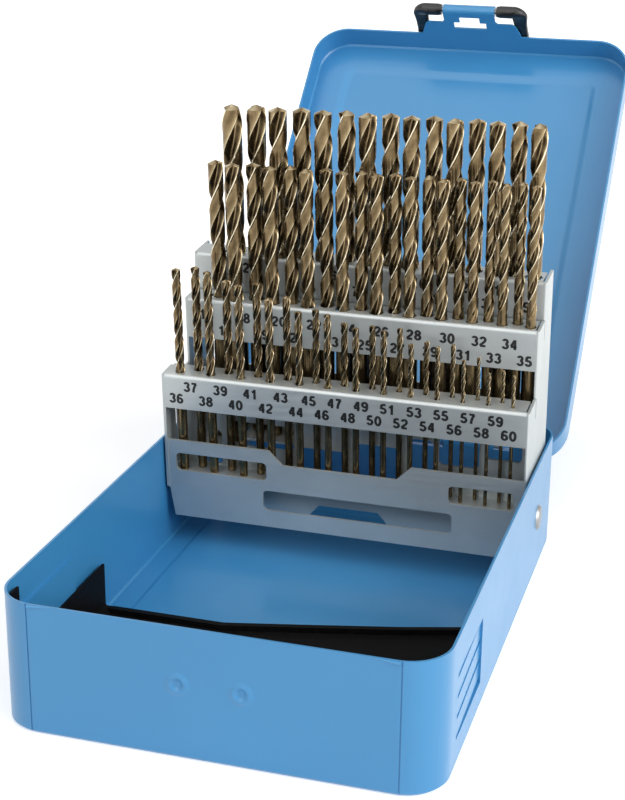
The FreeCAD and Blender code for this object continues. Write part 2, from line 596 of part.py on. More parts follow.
def drill(gauge):
    """Shank and body as one many-sided bar, with a 118-degree point."""
    across, back = place_of(gauge)
    radius = diameter(gauge) / 2
    foot = "%r + drill_rest" % reach(gauge)
    shoulder = overall(gauge) - radius * POINT_RATIO
    tip = doc.addObject("Part::Vertex", "Drill%dTip" % gauge)
    bind(tip, X=across, Y=back, Z="%s + %r" % (foot, overall(gauge)))
    bar = doc.addObject("Part::Loft", "Drill%d" % gauge)
    bar.Sections = [ring_of("Drill%dFoot" % gauge, across, back, foot, radius),
                    ring_of("Drill%dShoulder" % gauge, across, back, "%s + %r" % (foot, shoulder), radius), tip]
    bar.Solid = True
    bar.Ruled = True
    return bar


for gauge in range(ROWS["back"][0], ROWS["back"][1] + 1):
    keep("drill_%02d" % gauge, drill(gauge), RACK_PLACE)
first = ROWS["middle"][0]
for last, _ in LENGTH_GROUPS:
    if last < first:
        continue
    members = [drill(gauge) for gauge in range(first, last + 1)]
    keep("drills_%02d_to_%02d" % (first, last), fuse("Drills%d" % first, members), RACK_PLACE)
    first = last + 1

# The rack: three folded shelves between two stepped side plates, and what stands below them.
RIGHT_IN = RACK_HALF + " - plate"
LEFT_IN = "-%s + plate" % RACK_HALF
INSET_IN = "-%s + plate" % LEFT_PLATE_OUT
FLANGE_GAP = 0.5


def shelf(label, row, left):
    """An L of sheet with a row of graded drill holes; its top stops short of the right side plate."""
    face, rear, top, drop = row + "_face", row + "_rear", row + "_top", row + "_drop"
    profile = [(face, "%s - %s" % (top, drop)), (face, top), (rear, top), (rear, top + " - plate"),
               (face + " + plate", top + " - plate"), (face + " + plate", "%s - %s" % (top, drop))]
    sheet_metal = outline(label + "Sheet", "YZ_Plane", left, "(%s) - (%s)" % (RIGHT_IN, left), profile)
    front, height = number(face), number(top)
    bent = soften(label + "Bent", sheet_metal, "bend",
                  lambda middle, along: abs(middle.y - front) < 1e-6 and abs(middle.z - height) < 1e-6
                  and abs(along.x) > 1)
    gap = block(label + "Gap", ("%s - %s" % (RIGHT_IN, FLANGE_GAP), RIGHT_IN + " + 1"),
                (face + " + bend", rear + " + 1"), (top + " - plate - 0.1", top + " + 1"))
    holes = []
    for gauge in range(ROWS[row][0], ROWS[row][1] + 1):
        across, back = place_of(gauge)
        hole = doc.addObject("Part::Prism", "%sHole%d" % (label, gauge))
        hole.Polygon = FLATS
        bind(hole, Circumradius="(%r + drill_gap) / cos(180deg / %d)" % (diameter(gauge) / 2, FLATS), Height=6,
             Placement__Base__x=across, Placement__Base__y=back, Placement__Base__z=top + " - 3")
        holes.append(hole)
    keep(label, cut(label + "Drilled", bent, [gap] + holes), RACK_PLACE)


shelf("front_shelf", "front", LEFT_IN)
shelf("middle_shelf", "middle", INSET_IN)
shelf("back_shelf", "back", INSET_IN)

# the side plates share their steps; the lower corners of the rack are cut off at a slant
CHIN = "lower_foot + 9.6"
DIVIDER_FOOT = "side_foot + 1.4"
RELIEF_WIDE = 0.5
RELIEF_LONG = 6.0
EDGE_ROUND = 0.5
steps = [("middle_face", "front_top"), ("middle_face", "middle_top"), ("back_face", "middle_top"),
         ("back_face", "back_top"), ("side_rear", "back_top"), ("side_rear", "side_foot + 12.4"),
         ("side_rear - 11", "side_foot"), ("divider_face + 1.9", "side_foot")]


def stepped_plate(label, outer, inner, front_edge, side):
    """A side plate with a relief slit below each inner corner, a pivot bore and round bent edges."""
    low, high = (inner, outer) if side > 0 else (outer, inner)
    plate = side_plate(label + "Sheet", low, "plate", front_edge + steps)
    bore = rod(label + "Bore", "x", ("(%s) - 1" % low, "pivot_back", "pivot_up"), "pivot_radius + running_gap",
               "plate + 2")
    slits = [block("%sSlit%d" % (label, place), ("(%s) - 1" % low, "(%s) + 1" % high),
                   ("%s - %s" % (face, RELIEF_WIDE), face), ("%s - %s" % (top, RELIEF_LONG), top + " + 1"))
             for place, (face, top) in enumerate((("middle_face", "front_top"), ("back_face", "middle_top")))]
    faces = [number(name) for name in ("front_face", "middle_face", "back_face")]
    skin = number(outer)
    bent = soften(label + "Bent", plate, EDGE_ROUND,
                  lambda middle, along: abs(middle.x - skin) < 1e-6 and abs(along.z) > 0.99 * along.Length
                  and min(abs(middle.y - face) for face in faces) < 1e-6)
    keep(label, cut(label + "Cut", bent, [bore] + slits), RACK_PLACE)


stepped_plate("side_plate_right", RACK_HALF, RIGHT_IN, [("front_face", CHIN), ("front_face", "front_top")], 1)
stepped_plate("side_plate_left", "-" + LEFT_PLATE_OUT, INSET_IN,
              [("divider_face + plate", DIVIDER_FOOT), ("divider_face + plate", "front_top")], -1)
STRUT_REAR = "divider_face - 0.4"
keep("front_strut_left", side_plate("FrontStrut", "-" + RACK_HALF, "plate", [
    ("front_face", CHIN), ("front_face", "front_top"), (STRUT_REAR, "front_top"),
    (STRUT_REAR, "lower_foot + 3.6")]), RACK_PLACE)

# lower front plate: a shallow notch in its top edge, two windows over the shanks and a long slot
NOTCH = [(-22.0, "lower_top"), (-17.8, "lower_top - 4.3"), (16.5, "lower_top - 4.3"), (20.7, "lower_top")]
CORNER_CUT = 2.2
lower = front_plate("LowerFront", "lower_face", "plate", [(LEFT_IN, CHIN), (LEFT_IN, "lower_top")] + NOTCH + [
    (RIGHT_IN, "lower_top"), (RIGHT_IN, CHIN), ("%s - %s" % (RACK_HALF, CORNER_CUT), "lower_foot"),
    ("-%s + %s" % (RACK_HALF, CORNER_CUT), "lower_foot")])
WINDOW_Z = ("front_floor + 0.7", "lower_top - 4.1")
SLOT_Z = ("lower_foot + 5.5", "lower_foot + 12")
PLATE_OPENINGS = [
    ("LowerWindowLeft", ("-%s + 3.2" % RACK_HALF, "-22.7"), WINDOW_Z, 1.4),
    ("LowerWindowRight", ("31.8", "%s - 3.4" % RACK_HALF), WINDOW_Z, 1.4),
    ("LowerSlot", ("-24", "33"), SLOT_Z, 1.6),
]


def window(name, x, y, z, radius, kind="Part::Fillet"):
    """A tool that cuts a hole through a front plate, with round or bevelled corners."""
    raw = block(name + "Raw", x, y, z)
    return soften(name, raw, radius, lambda middle, along: abs(along.y) > 0.99 * along.Length, kind)


keep("lower_front_plate", cut("LowerFrontCut", lower, [
    window(name, x, ("lower_face - 2", "lower_face + 4"), z, radius) for name, x, z, radius in PLATE_OPENINGS]),
     RACK_PLACE)
keep("front_floor", block("FrontFloor", (LEFT_IN, RIGHT_IN), ("lower_face + plate", "divider_face"),
                          ("front_floor - plate", "front_floor")), RACK_PLACE)

# divider behind the front row, with one window for each length group of the middle row:
# first and last number, margins before and behind their holes, window top over the group's floor, height
DIVIDER_WINDOWS = [
    (16, 17, 6.1, -3.8, 4.9, 11.0),
    (18, 21, 7.0, -3.1, 5.4, 7.7),
    (22, 24, 6.5, -2.6, -3.8, 11.0),
    (25, 27, 4.2, -1.4, -3.6, 11.0),
    (28, 29, 3.2, -0.2, -3.2, 11.0),
    (30, 32, 3.0, 0.1, -2.7, 11.0),
    (33, 35, 2.1, 0.1, -2.3, 11.0),
]
WINDOW_BEVEL = 0.9
TOP_WEB = 2.0
FOOT_NOTCH = [("12", DIVIDER_FOOT), ("9", DIVIDER_FOOT + " + 3.5"), ("-9", DIVIDER_FOOT + " + 3.5"),
              ("-12", DIVIDER_FOOT)]
divider = front_plate("Divider", "divider_face", "plate", [
    (LEFT_IN, DIVIDER_FOOT), (LEFT_IN, "front_top - plate"), (RIGHT_IN, "front_top - plate"),
    (RIGHT_IN, DIVIDER_FOOT)] + FOOT_NOTCH)
divider_windows = []
for low, high, before, behind, rise, tall in DIVIDER_WINDOWS:
    span = (place_of(low)[0] - before, place_of(high)[0] + behind)
    top_edge = min(reach(low) + rise, number("front_top - plate") - TOP_WEB)
    divider_windows.append(window("DividerWindow%d" % low, span, ("divider_face - 2", "divider_face + 4"),
                                  (top_edge - tall, top_edge), WINDOW_BEVEL, "Part::Chamfer"))
keep("divider_plate", cut("DividerCut", divider, divider_windows), RACK_PLACE)
middle_groups = [(low, high) for low, high, _, _, _, _ in DIVIDER_WINDOWS]


def stair(label, groups, front, back, right_end):
    """A folded strip: one floor for each length group, with a riser between neighbours."""
    edges = [number(INSET_IN)]
    for (_, high), (low, _) in zip(groups, groups[1:]):
        edges.append((place_of(high)[0] + place_of(low)[0]) / 2)
    edges.append(number(right_end))
    treads = []
    for index, (low, _) in enumerate(groups):
        level = reach(low)
        treads.append(block("%sTread%d" % (label, low), (edges[index], edges[index + 1]), (front, back),
                            ("%r - plate" % level, repr(level))))
        if index:
            below = reach(groups[index - 1][0])
            treads.append(block("%sRiser%d" % (label, low), ("%r - plate / 2" % edges[index],
                          "%r + plate / 2" % edges[index]), (front, back), ("%r - plate" % below, repr(level))))
    keep(label, fuse(label + "Strip", treads), RACK_PLACE)


stair("shank_stop_middle", middle_groups, "divider_face + plate", "middle_rear", RIGHT_IN)
stair("shank_stop_back", [(1, 2), (3, 6), (7, 10), (11, 13), (14, 15)], "back_face", "back_rear", RIGHT_IN)
keep("rear_brace", block("RearBrace", (INSET_IN, RIGHT_IN), ("side_rear - plate", "side_rear"),
                         ("brace_foot", "brace_foot + brace_tall")), RACK_PLACE)

doc.recompute()
failed = [item.Name for item in doc.Objects if {"Invalid", "Error"} & set(item.State)]
if failed:
    raise RuntimeError("failed objects: " + ", ".join(failed))
os.makedirs("parts", exist_ok=True)
for node in nodes:
    shape = node.Shape
    if shape.isNull() or not shape.isValid():
        raise RuntimeError("bad shape: " + node.Label)
    shape.exportStep("parts/%s.step" % node.Label)
print(len(nodes), "nodes written")
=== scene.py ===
import bmesh
import bpy
import json
import math
import numpy as np
from mathutils import Matrix


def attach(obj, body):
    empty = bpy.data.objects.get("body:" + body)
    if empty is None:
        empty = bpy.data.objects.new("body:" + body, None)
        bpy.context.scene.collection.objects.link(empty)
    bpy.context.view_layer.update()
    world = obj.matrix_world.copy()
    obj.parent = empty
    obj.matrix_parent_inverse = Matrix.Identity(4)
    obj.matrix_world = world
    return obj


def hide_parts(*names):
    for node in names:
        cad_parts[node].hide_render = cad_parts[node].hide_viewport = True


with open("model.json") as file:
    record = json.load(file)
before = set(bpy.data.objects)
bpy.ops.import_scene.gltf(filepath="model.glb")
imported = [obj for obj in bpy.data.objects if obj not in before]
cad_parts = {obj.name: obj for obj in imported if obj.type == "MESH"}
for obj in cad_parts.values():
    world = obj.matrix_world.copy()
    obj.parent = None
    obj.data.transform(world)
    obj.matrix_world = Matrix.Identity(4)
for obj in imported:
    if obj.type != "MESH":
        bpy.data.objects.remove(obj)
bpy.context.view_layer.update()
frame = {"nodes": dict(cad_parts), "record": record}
print("frame loaded", len(frame["nodes"]), "nodes")

scene = bpy.context.scene
scene.view_settings.view_transform = "Standard"
mm = 0.001
inch = 25.4

# camera, floor and light
shot = {"place": (0.12041, -0.39948, 0.21656), "azimuth": 16.66, "elevation": 20.07, "roll": 0.51,
        "lens": 75.31}
# each lamp: place, target, size of the panel in metres, watts
lamps = {
    "rightPanel": ((1.0, -0.25, 0.5), (0.05, 0, 0.04), (1.0, 0.9), 10.5),
    "overhead": ((-0.05, -0.5, 1.05), (0, 0, 0.04), (1.75, 1.5), 8.2),
    "frontFill": ((-0.5, -1.2, 0.6), (0, 0, 0.06), (1.2, 1.0), 3.4),
}
# light of the sky on things, and how brightly the floor is seen near to and far from the object
studio = {"sky": 0.2, "skyTint": (0.95, 0.97, 1, 1), "nearGlow": 0.45, "farGlow": 1.0,
          "near": 0.16, "far": 0.36, "floorHalf": 3.0}


def makeCamera():
    # back = direction from the object to the eye, right lies level, both then rolled a little
    a = math.radians(shot["azimuth"])
    e = math.radians(shot["elevation"])
    roll = math.radians(shot["roll"])
    back = np.array([math.sin(a) * math.cos(e), -math.cos(a) * math.cos(e), math.sin(e)])
    right = np.array([math.cos(a), math.sin(a), 0.0])
    up = np.cross(back, right)
    right, up = math.cos(roll) * right + math.sin(roll) * up, math.cos(roll) * up - math.sin(roll) * right
    data = bpy.data.cameras.new("camera")
    data.lens = shot["lens"]
    data.clip_start = 0.01
    data.clip_end = 20
    camera = bpy.data.objects.new("camera", data)
    scene.collection.objects.link(camera)
    matrix = np.eye(4)
    matrix[:3, 0], matrix[:3, 1], matrix[:3, 2], matrix[:3, 3] = right, up, back, shot["place"]
    camera.matrix_world = Matrix(matrix.tolist())
    scene.camera = camera


def newMesh(name, points, faces, smooth=True):
    # points: n by 3 in metres, faces: m by 4 or m by 3 indices
    mesh = bpy.data.meshes.new(name)
    faces = np.asarray(faces)
    sides = faces.shape[1]
    mesh.vertices.add(len(points))
    mesh.vertices.foreach_set("co", np.asarray(points, dtype=np.float32).ravel())
    mesh.loops.add(faces.size)
    mesh.loops.foreach_set("vertex_index", faces.astype(np.int32).ravel())
    mesh.polygons.add(len(faces))
    mesh.polygons.foreach_set("loop_start", np.arange(0, faces.size, sides, dtype=np.int32))
    mesh.polygons.foreach_set("loop_total", np.full(len(faces), sides, dtype=np.int32))
    mesh.polygons.foreach_set("use_smooth", np.full(len(faces), smooth, dtype=bool))
    mesh.update(calc_edges=True)
    mesh.validate()
    obj = bpy.data.objects.new(name, mesh)
    scene.collection.objects.link(obj)
    return obj


def areaLight(name, place, target, size, watts):
    data = bpy.data.lights.new(name, "AREA")
    data.shape = "RECTANGLE"
    data.size, data.size_y = size
    data.energy = watts
    lamp = bpy.data.objects.new(name, data)
    scene.collection.objects.link(lamp)
    away = np.array(place, dtype=float) - np.array(target, dtype=float)
    away /= np.linalg.norm(away)
    side = np.cross((0, 0, 1), away)
    side /= np.linalg.norm(side)
    matrix = np.eye(4)
    matrix[:3, 0], matrix[:3, 1], matrix[:3, 2], matrix[:3, 3] = side, np.cross(away, side), away, place
    lamp.matrix_world = Matrix(matrix.tolist())


def seenDirectly(tree):
    # 1 for rays from the camera, from a reflection and through glass, 0 for light that falls on things
    path = tree.nodes.new("ShaderNodeLightPath")
    first = tree.nodes.new("ShaderNodeMath")
    second = tree.nodes.new("ShaderNodeMath")
    first.operation = second.operation = "MAXIMUM"
    tree.links.new(path.outputs["Is Camera Ray"], first.inputs[0])
    tree.links.new(path.outputs["Is Glossy Ray"], first.inputs[1])
    tree.links.new(first.outputs[0], second.inputs[0])
    tree.links.new(path.outputs["Is Transmission Ray"], second.inputs[1])
    return second.outputs[0]


def makeStudio():
    world = bpy.data.worlds.new("studio")
    scene.world = world
    world.use_nodes = True
    tree = world.node_tree
    tree.nodes.clear()
    out = tree.nodes.new("ShaderNodeOutputWorld")
    mix = tree.nodes.new("ShaderNodeMixShader")
    soft = tree.nodes.new("ShaderNodeBackground")
    soft.inputs["Color"].default_value = studio["skyTint"]
    soft.inputs["Strength"].default_value = studio["sky"]
    white = tree.nodes.new("ShaderNodeBackground")
    white.inputs["Color"].default_value = (1, 1, 1, 1)
    white.inputs["Strength"].default_value = 1
    tree.links.new(seenDirectly(tree), mix.inputs[0])
    tree.links.new(soft.outputs[0], mix.inputs[1])
    tree.links.new(white.outputs[0], mix.inputs[2])
    tree.links.new(mix.outputs[0], out.inputs["Surface"])
    for name, (place, target, size, watts) in lamps.items():
        areaLight(name, place, target, size, watts)
    half = studio["floorHalf"]
    ground = newMesh("floor", [(-half, -half, 0), (half, -half, 0), (half, half, 0), (-half, half, 0)],
                     [(0, 1, 2, 3)], smooth=False)
    ground.data.materials.append(floorPaint())


# finishes

def newMaterial(name):
    material = bpy.data.materials.new(name)
    material.use_nodes = True
    tree = material.node_tree
    shader = tree.nodes["Principled BSDF"]
    return material, tree, shader


def objectCoords(tree):
    return tree.nodes.new("ShaderNodeTexCoord").outputs["Object"]


def noise(tree, coords, scale, detail=3.0, rough=0.5):
    node = tree.nodes.new("ShaderNodeTexNoise")
    node.inputs["Scale"].default_value = scale
    node.inputs["Detail"].default_value = detail
    node.inputs["Roughness"].default_value = rough
    tree.links.new(coords, node.inputs["Vector"])
    return node


def ramp(tree, source, stops):
    node = tree.nodes.new("ShaderNodeValToRGB")
    elements = node.color_ramp.elements
    elements[0].position, elements[0].color = stops[0][0], stops[0][1]
    elements[1].position, elements[1].color = stops[-1][0], stops[-1][1]
    for place, colour in stops[1:-1]:
        element = elements.new(place)
        element.color = colour
    tree.links.new(source, node.inputs["Fac"])
    return node


def bump(tree, shader, height, strength, distance):
    node = tree.nodes.new("ShaderNodeBump")
    node.inputs["Strength"].default_value = strength
    node.inputs["Distance"].default_value = distance
    tree.links.new(height, node.inputs["Height"])
    tree.links.new(node.outputs["Normal"], shader.inputs["Normal"])
    return node


def grey(value):
    return (value, value, value, 1)


def floorPaint():
    # white floor: it takes shadows, and is seen with a glow that grows away from the object
    material, tree, shader = newMaterial("floorPaint")
    shader.inputs["Base Color"].default_value = grey(0.93)
    shader.inputs["Roughness"].default_value = 0.9
    shader.inputs["Specular IOR Level"].default_value = 0.1
    glow = tree.nodes.new("ShaderNodeEmission")
    reach = tree.nodes.new("ShaderNodeVectorMath")
    reach.operation = "LENGTH"
    tree.links.new(objectCoords(tree), reach.inputs[0])
    fade = tree.nodes.new("ShaderNodeMapRange")
    ends = {"From Min": "near", "From Max": "far", "To Min": "nearGlow", "To Max": "farGlow"}
    for socket, key in ends.items():
        fade.inputs[socket].default_value = studio[key]
    tree.links.new(reach.outputs["Value"], fade.inputs["Value"])
    tree.links.new(fade.outputs["Result"], glow.inputs["Strength"])
    dark = tree.nodes.new("ShaderNodeEmission")
    dark.inputs["Strength"].default_value = 0
    pick = tree.nodes.new("ShaderNodeMixShader")
    tree.links.new(seenDirectly(tree), pick.inputs[0])
    tree.links.new(dark.outputs[0], pick.inputs[1])
    tree.links.new(glow.outputs[0], pick.inputs[2])
    total = tree.nodes.new("ShaderNodeAddShader")
    tree.links.new(shader.outputs[0], total.inputs[0])
    tree.links.new(pick.outputs[0], total.inputs[1])
    tree.links.new(total.outputs[0], tree.nodes["Material Output"].inputs["Surface"])
    return material


def bluePaint():
    # glossy enamel: the faintest mottling and orange peel, a few dull rubbed patches
    material, tree, shader = newMaterial("bluePaint")
    coords = objectCoords(tree)
    mottle = noise(tree, coords, 22, 3)
    colour = ramp(tree, mottle.outputs["Fac"],
                  [(0.3, (0.045, 0.258, 0.525, 1)), (0.7, (0.050, 0.274, 0.552, 1))])
    tree.links.new(colour.outputs["Color"], shader.inputs["Base Color"])
    rubbed = noise(tree, coords, 60, 4, 0.6)
    dull = ramp(tree, rubbed.outputs["Fac"], [(0.35, grey(0.33)), (0.75, grey(0.38))])
    tree.links.new(dull.outputs["Color"], shader.inputs["Roughness"])
    shader.inputs["Coat Weight"].default_value = 0.3
    shader.inputs["Coat Roughness"].default_value = 0.14
    peel = noise(tree, coords, 420, 1)
    bump(tree, shader, peel.outputs["Fac"], 0.03, 0.0001)
    return material


def greyRack():
    # satin silver-grey sheet with fine brushed grain and faint stains
    material, tree, shader = newMaterial("greyRack")
    coords = objectCoords(tree)
    stretch = tree.nodes.new("ShaderNodeMapping")
    stretch.inputs["Scale"].default_value = (0.08, 1, 1)
    tree.links.new(coords, stretch.inputs["Vector"])
    grain = noise(tree, stretch.outputs[0], 1400, 3)
    stain = noise(tree, coords, 55, 5, 0.6)
    colour = ramp(tree, stain.outputs["Fac"],
                  [(0.3, (0.475, 0.505, 0.500, 1)), (0.7, (0.545, 0.578, 0.573, 1))])
    tree.links.new(colour.outputs["Color"], shader.inputs["Base Color"])
    shader.inputs["Metallic"].default_value = 0.6
    sheen = ramp(tree, grain.outputs["Fac"], [(0.3, grey(0.38)), (0.7, grey(0.5))])
    tree.links.new(sheen.outputs["Color"], shader.inputs["Roughness"])
    bump(tree, shader, grain.outputs["Fac"], 0.06, 0.00005)
    return material


def bronzeSteel():
    # straw-bronze oxide on ground steel. The piece's own attribute runs from 0 in the flutes,
    # through about a half on lands and shanks, to 1 on the ground margins and lips: dark oxide with painted
    # shade in the flutes, a painted highlight along each flute's middle and painted sheen on the lands
    material, tree, shader = newMaterial("bronzeSteel")
    coords = objectCoords(tree)
    stretch = tree.nodes.new("ShaderNodeMapping")
    stretch.inputs["Scale"].default_value = (1, 1, 0.12)
    tree.links.new(coords, stretch.inputs["Vector"])
    grind = noise(tree, stretch.outputs[0], 1500, 3)
    stain = noise(tree, coords, 260, 4, 0.6)
    oxideAndSheen = tree.nodes.new("ShaderNodeAttribute")
    oxideAndSheen.attribute_name = "oxideAndSheen"
    shift = tree.nodes.new("ShaderNodeMath")
    shift.operation = "MULTIPLY_ADD"
    shift.inputs[1].default_value = 0.5
    shift.inputs[2].default_value = -0.25
    tree.links.new(stain.outputs["Fac"], shift.inputs[0])
    # random stains are added to the attribute's oxide, painted shade and painted highlights
    stainOxideAndSheen = tree.nodes.new("ShaderNodeMath")
    stainOxideAndSheen.operation = "ADD"
    tree.links.new(shift.outputs[0], stainOxideAndSheen.inputs[0])
    tree.links.new(oxideAndSheen.outputs["Fac"], stainOxideAndSheen.inputs[1])
    colour = ramp(tree, stainOxideAndSheen.outputs[0],
                  [(0.0, (0.020, 0.014, 0.007, 1)), (0.3, (0.108, 0.074, 0.035, 1)),
                   (0.55, (0.255, 0.187, 0.100, 1)), (0.78, (0.44, 0.355, 0.21, 1)),
                   (0.95, (0.78, 0.70, 0.52, 1))])
    tree.links.new(colour.outputs["Color"], shader.inputs["Base Color"])
    shader.inputs["Metallic"].default_value = 0.9
    rough = ramp(tree, grind.outputs["Fac"], [(0.3, grey(0.2)), (0.7, grey(0.34))])
    tree.links.new(rough.outputs["Color"], shader.inputs["Roughness"])
    bump(tree, shader, grind.outputs["Fac"], 0.1, 0.00005)
    return material


def blackMoulding():
    # glossy black plastic with a trace of moulding texture
    material, tree, shader = newMaterial("blackMoulding")
    coords = objectCoords(tree)
    speck = noise(tree, coords, 500, 3)
    colour = ramp(tree, speck.outputs["Fac"],
                  [(0.3, (0.006, 0.006, 0.007, 1)), (0.7, (0.014, 0.013, 0.013, 1))])
    tree.links.new(colour.outputs["Color"], shader.inputs["Base Color"])
    rough = ramp(tree, speck.outputs["Fac"], [(0.3, grey(0.2)), (0.7, grey(0.34))])
    tree.links.new(rough.outputs["Color"], shader.inputs["Roughness"])
    bump(tree, shader, speck.outputs["Fac"], 0.03, 0.00005)
    return material


def blackLiner():
    # satin black sheet moulding of the tip stop
    material, tree, shader = newMaterial("blackLiner")
    coords = objectCoords(tree)
    grain = noise(tree, coords, 700, 4)
    colour = ramp(tree, grain.outputs["Fac"],
                  [(0.3, (0.004, 0.004, 0.004, 1)), (0.7, (0.009, 0.008, 0.008, 1))])
    tree.links.new(colour.outputs["Color"], shader.inputs["Base Color"])
    shader.inputs["Specular IOR Level"].default_value = 0.04
    rough = ramp(tree, grain.outputs["Fac"], [(0.3, grey(0.4)), (0.7, grey(0.55))])
    tree.links.new(rough.outputs["Color"], shader.inputs["Roughness"])
    bump(tree, shader, grain.outputs["Fac"], 0.15, 0.00008)
    return material


def platedSteel():
    # bright plated rivets and pins with small rub marks
    material, tree, shader = newMaterial("platedSteel")
    coords = objectCoords(tree)
    rub = noise(tree, coords, 420, 4)
    colour = ramp(tree, rub.outputs["Fac"], [(0.3, (0.27, 0.275, 0.27, 1)), (0.7, (0.38, 0.385, 0.38, 1))])
    tree.links.new(colour.outputs["Color"], shader.inputs["Base Color"])
    shader.inputs["Metallic"].default_value = 1.0
    rough = ramp(tree, rub.outputs["Fac"], [(0.3, grey(0.3)), (0.7, grey(0.44))])
    tree.links.new(rough.outputs["Color"], shader.inputs["Roughness"])
    bump(tree, shader, rub.outputs["Fac"], 0.06, 0.00005)
    return material


def printInk():
    # black printed numbers, slightly uneven
    material, tree, shader = newMaterial("printInk")
    coords = objectCoords(tree)
    patch = noise(tree, coords, 1500, 3)
    colour = ramp(tree, patch.outputs["Fac"], [(0.3, grey(0.004)), (0.7, grey(0.014))])
    tree.links.new(colour.outputs["Color"], shader.inputs["Base Color"])
    shader.inputs["Roughness"].default_value = 0.5
    return material


makeCamera()
makeStudio()
finish = {
    "blue_paint": bluePaint(),
    "grey_rack": greyRack(),
    "bronze_steel": bronzeSteel(),
    "black_gloss": blackMoulding(),
    "black_liner": blackLiner(),
    "plated_steel": platedSteel(),
}
ink = printInk()
slotOf = {part["node"]: part["material_slot"] for part in frame["record"]["subparts"]}
for name, node in frame["nodes"].items():
    material = finish[slotOf[name]]
    if not node.material_slots:
        node.data.materials.append(material)
    for slot in node.material_slots:
        slot.material = material
print("camera, studio and finishes ready")

# the rack's own frame: it leans forward about an axis along X through the origin
rack = {"lean": 4.0, "frontTop": 53.5, "middleTop": 73.6, "backTop": 84.7, "frontFloor": 21.9,
        "middleReach": 114.3, "backReach": 128.6, "frontFace": 33.7, "middleFace": 44.5, "backFace": 53.6}


def toObject(points):
    # rack millimetres to object metres: y' = y cos - z sin, z' = y sin + z cos
    lean = math.radians(rack["lean"])
    points = np.asarray(points, dtype=float)
    turned = points.copy()
    turned[..., 1] = points[..., 1] * math.cos(lean) - points[..., 2] * math.sin(lean)
    turned[..., 2] = points[..., 1] * math.sin(lean) + points[..., 2] * math.cos(lean)
    return turned * mm


drills = {
    "diametersInch": (0.2280, 0.2210, 0.2130, 0.2090, 0.2055, 0.2040, 0.2010, 0.1990, 0.1960, 0.1935,
                      0.1910, 0.1890, 0.1850, 0.1820, 0.1800, 0.1770, 0.1730, 0.1695, 0.1660, 0.1610,
                      0.1590, 0.1570, 0.1540, 0.1520, 0.1495, 0.1470, 0.1440, 0.1405, 0.1360, 0.1285,
                      0.1200, 0.1160, 0.1130, 0.1110, 0.1100, 0.1065, 0.1040, 0.1015, 0.0995, 0.0980,
                      0.0960, 0.0935, 0.0890, 0.0860, 0.0820, 0.0810, 0.0785, 0.0760, 0.0730, 0.0700,
                      0.0670, 0.0635, 0.0595, 0.0550, 0.0520, 0.0465, 0.0430, 0.0420, 0.0410, 0.0400),
    # last number of each group: overall and flute length in sixteenths of an inch
    "lengths": {2: (62, 42), 6: (60, 40), 10: (58, 39), 13: (56, 37), 17: (54, 35), 21: (52, 34),
                24: (50, 32), 27: (48, 30), 29: (46, 28), 32: (44, 26), 35: (42, 24), 38: (40, 23),
                41: (38, 22), 43: (36, 20), 46: (34, 18), 51: (32, 16), 55: (30, 14), 57: (28, 12),
                60: (26, 11)},
    # first and last number, first and last hole along X, first pitch less last pitch, and where the odd
    # and the even holes lie along Y
    "rows": {"back": (1, 15, -38.4, 49.8, 1.2, 57.5, 58.7),
             "middle": (16, 35, -41.0, 51.2, 1.7, 47.6, 49.6),
             "front": (36, 60, -49.5, 48.9, 1.3, 39.8, 37.0)},
    "rest": 0.05,
    "pointRatio": 0.45,
    "turnPerDiameter": 0.16,
    "rowsPerDiameter": 7,
    "rowLimits": (60, 150),
    # share of the radius at the bevelled foot and the bevel's height; where the shank's rings start, how
    # many diameters below the flutes they end, and their number
    "foot": (0.88, 0.35),
    "shankRings": (1.2, 1.5, 4),
    # length over which the flutes fade in, in diameters; first share and number of the point's rings
    "fade": 1.6,
    "coneRings": (0.92, 10),
    # polish of the shank; mean, swing and angle of the polish on the point's two flanks
    "shankPolish": 0.42,
    "flankPolish": (0.62, 0.2, 0.6),
    "phaseStep": 2.399,
    # half of the section, twice round: angle in radians, share of the radius, brightness of the colour
    # (dark oxide with painted shade in the flutes, a painted highlight mid-flute, painted sheen on the
    # lands)
    "section": ((0.0, 1.0, 1.0), (0.06, 1.0, 1.0), (0.12, 1.0, 0.9), (0.15, 0.975, 0.52),
                (0.4, 0.972, 0.44), (0.8, 0.972, 0.35), (1.2, 0.972, 0.40), (1.55, 0.972, 0.60),
                (1.68, 0.97, 0.9), (1.72, 0.91, 0.45), (1.84, 0.76, 0.2), (2.0, 0.61, 0.08),
                (2.18, 0.48, 0.14), (2.36, 0.40, 0.4), (2.52, 0.37, 0.6), (2.66, 0.40, 0.45),
                (2.78, 0.47, 0.16), (2.89, 0.58, 0.06), (2.98, 0.71, 0.12), (3.05, 0.84, 0.35),
                (3.105, 0.95, 0.75)),
}


def rowOf(number):
    return next(name for name, row in drills["rows"].items() if row[0] <= number <= row[1])


def holeOf(number):
    # the pitch shrinks evenly along the row: the first is wider than the mean by half the taper
    first, last, start, end, taper, odd, even = drills["rows"][rowOf(number)]
    pitches = last - first
    steps = number - first
    wide = (end - start) / pitches + taper / 2
    across = start + steps * wide - taper / (pitches - 1) * steps * (steps - 1) / 2
    return across, odd if number % 2 else even


def sizesOf(number):
    overall, flute = next(pair for last, pair in drills["lengths"].items() if number <= last)
    return drills["diametersInch"][number - 1] * inch, overall * inch / 16, flute * inch / 16


def footOf(number):
    row = rowOf(number)
    if row == "front":
        return rack["frontFloor"]
    return rack["middleReach" if row == "middle" else "backReach"] - sizesOf(number)[1]


